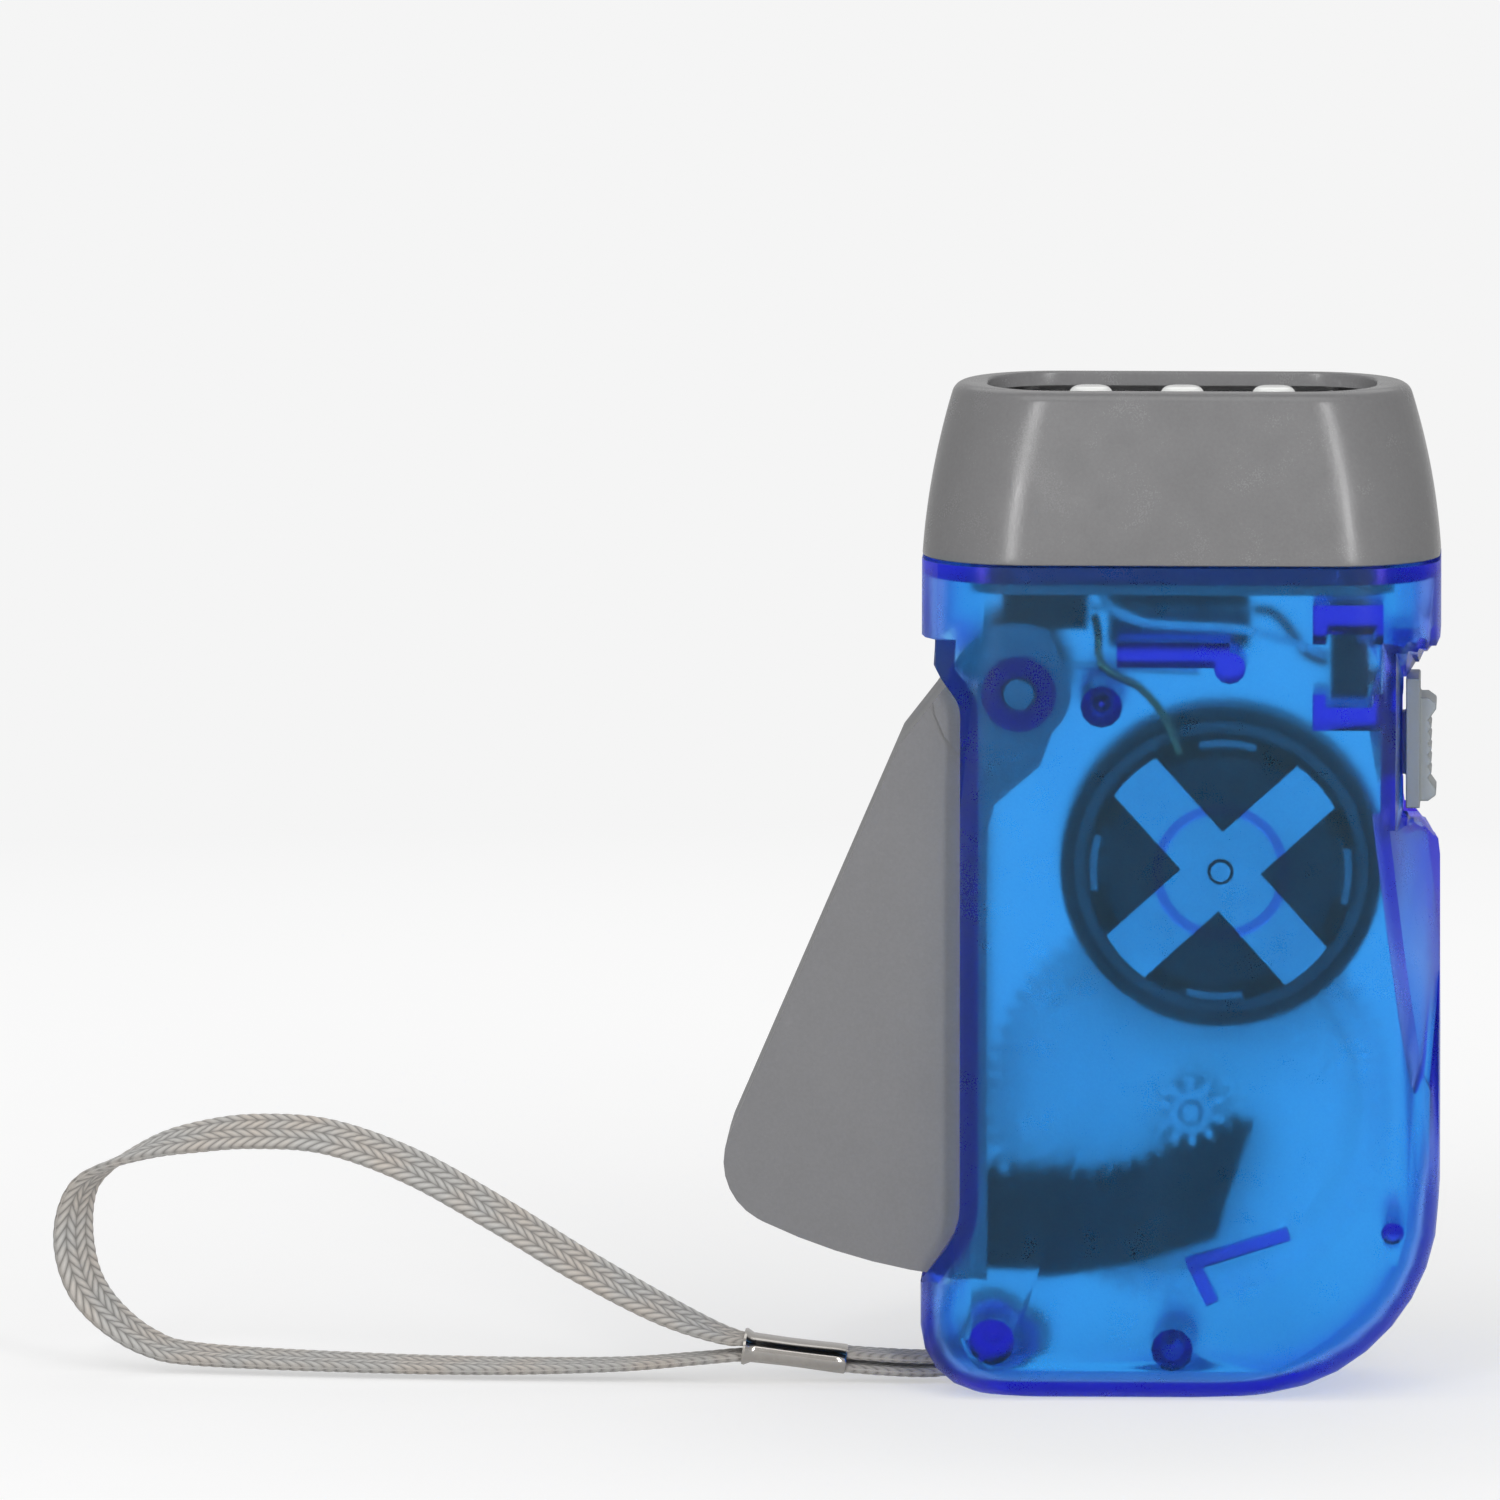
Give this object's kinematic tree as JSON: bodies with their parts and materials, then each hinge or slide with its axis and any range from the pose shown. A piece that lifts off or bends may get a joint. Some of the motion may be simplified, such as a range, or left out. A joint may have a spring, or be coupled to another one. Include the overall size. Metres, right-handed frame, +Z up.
{
  "type": "squeeze dynamo flashlight",
  "caption": "Pocket flashlight with a clear blue clamshell case, a grey lamp head, a hinged squeeze lever that spins a dynamo through gears, a slide switch and a wrist strap.",
  "frame": {"origin": "middle of the base that the flashlight stands on, centred on the outer box without the strap", "axes": "+Z up towards the lamps, +X across the case towards the switch with the lever on the left, -Y is the front"},
  "size_m": [0.1386, 0.027, 0.1005],
  "materials": {
    "frosted_blue": "frosted, see-through blue",
    "grey_plastic": "satin",
    "lever_grey": "satin",
    "switch_grey": "satin",
    "chrome": "bright",
    "steel": "bright",
    "led_white": "clear to milky",
    "board": "solder mask",
    "black_plastic": "satin",
    "natural_plastic": "undyed, satin",
    "magnet": "ferrite",
    "copper_wire": "enamelled copper",
    "battery_sleeve": "shrink sleeve",
    "wire": "insulated",
    "webbing": "flat braid"
  },
  "bodies": {
    "case": {"front_shell": "frosted_blue", "back_shell": "frosted_blue", "case_screw_high": "steel", "case_screw_low": "steel", "head_bezel": "grey_plastic", "reflector_plate": "chrome", "led_1": "led_white", "led_2": "led_white", "led_3": "led_white", "led_board": "board", "rectifier_board": "board", "battery_pack": "battery_sleeve", "battery_tab": "steel", "slide_switch": "black_plastic", "switch_wire": "wire", "battery_lead": "wire", "coil_lead_1": "wire", "coil_lead_2": "wire", "lever_pivot_pin": "steel", "lever_spring": "steel", "gear_shaft": "steel", "gear_washer": "steel", "flywheel_shaft": "steel", "front_pole_plate": "steel", "rear_pole_plate": "steel", "coil_bobbin": "natural_plastic", "coil_winding": "copper_wire", "wrist_strap": "webbing", "strap_ferrule": "chrome"},
    "lever": {"squeeze_lever": "lever_grey", "toothed_arc": "black_plastic"},
    "gear_train": {"drive_gear": "natural_plastic", "sector_pinion": "natural_plastic"},
    "flywheel_rotor": {"flywheel": "black_plastic", "ring_magnet": "magnet"},
    "slider": {"switch_slider": "switch_grey"}
  },
  "joints": [
    {"name": "flywheel_spin", "type": "hinge", "parent": "case", "child": "flywheel_rotor", "pos_m": [0.01386, 0, 0.05279], "axis": [0, 1, 0], "range_deg": [0, 1383.6]},
    {"name": "gear_spin", "type": "hinge", "parent": "case", "child": "gear_train", "pos_m": [0.0107, 0, 0.02809], "axis": [0, -1, 0], "range_deg": [0, 356.5]},
    {"name": "lever_squeeze", "type": "hinge", "parent": "case", "child": "lever", "pos_m": [-0.00615, 0, 0.07046], "axis": [0, -1, 0], "range_deg": [0, 22], "stiffness_Nm_per_rad": 0.15, "springref_deg": -34.38, "deforming": ["lever_spring"]},
    {"name": "switch_slide", "type": "slide", "parent": "case", "child": "slider", "axis": [0, 0, 1], "range_m": [0, 0.0025]}
  ],
  "couplings": [
    {"joint": "gear_spin", "follows": "flywheel_spin", "ratio": 0.25758},
    {"joint": "lever_squeeze", "follows": "flywheel_spin", "ratio": 0.0159}
  ]
}
